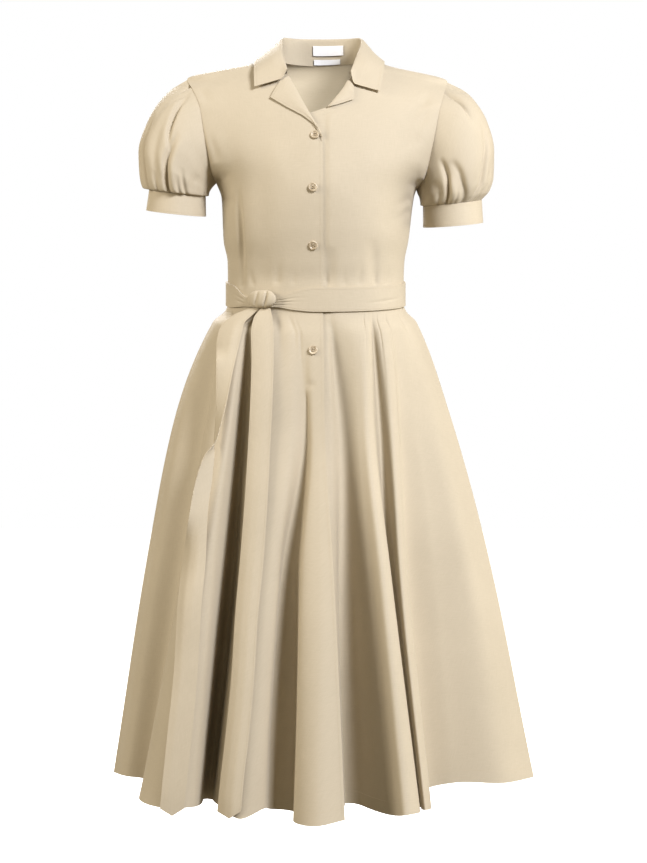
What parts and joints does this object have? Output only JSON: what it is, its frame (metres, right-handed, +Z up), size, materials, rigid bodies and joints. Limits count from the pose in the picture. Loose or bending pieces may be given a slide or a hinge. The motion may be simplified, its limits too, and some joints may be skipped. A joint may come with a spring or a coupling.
{
  "type": "shirt dress",
  "caption": "Midi shirt dress with notched camp collar, short puffed sleeves in cuffs, buttoned front, folded flared skirt and a tie belt knotted at the side front.",
  "frame": {"origin": "mount wearer: on the centre line at shoulder level, where the wearer carries the dress", "axes": "+Z up, -Y the front of the dress, +X the wearer's left"},
  "size_m": [0.6307, 0.4393, 1.1427],
  "materials": {
    "cloth": "matte plain weave",
    "buttons": "satin",
    "labels": "satin woven tape"
  },
  "bodies": {
    "root": {"bodice_back": "cloth", "bodice_front_right": "cloth", "bodice_front_left": "cloth", "collar": "cloth", "lapel_right": "cloth", "lapel_left": "cloth", "sleeve_right": "cloth", "sleeve_left": "cloth", "cuff_right": "cloth", "cuff_left": "cloth", "skirt_front_right": "cloth", "skirt_front_left": "cloth", "skirt_back": "cloth", "belt_band": "cloth", "belt_knot": "cloth", "belt_tail_right": "cloth", "belt_tail_left": "cloth", "button_1": "buttons", "button_2": "buttons", "button_3": "buttons", "button_4": "buttons", "neck_label": "labels", "size_label": "labels"}
  },
  "joints": []
}
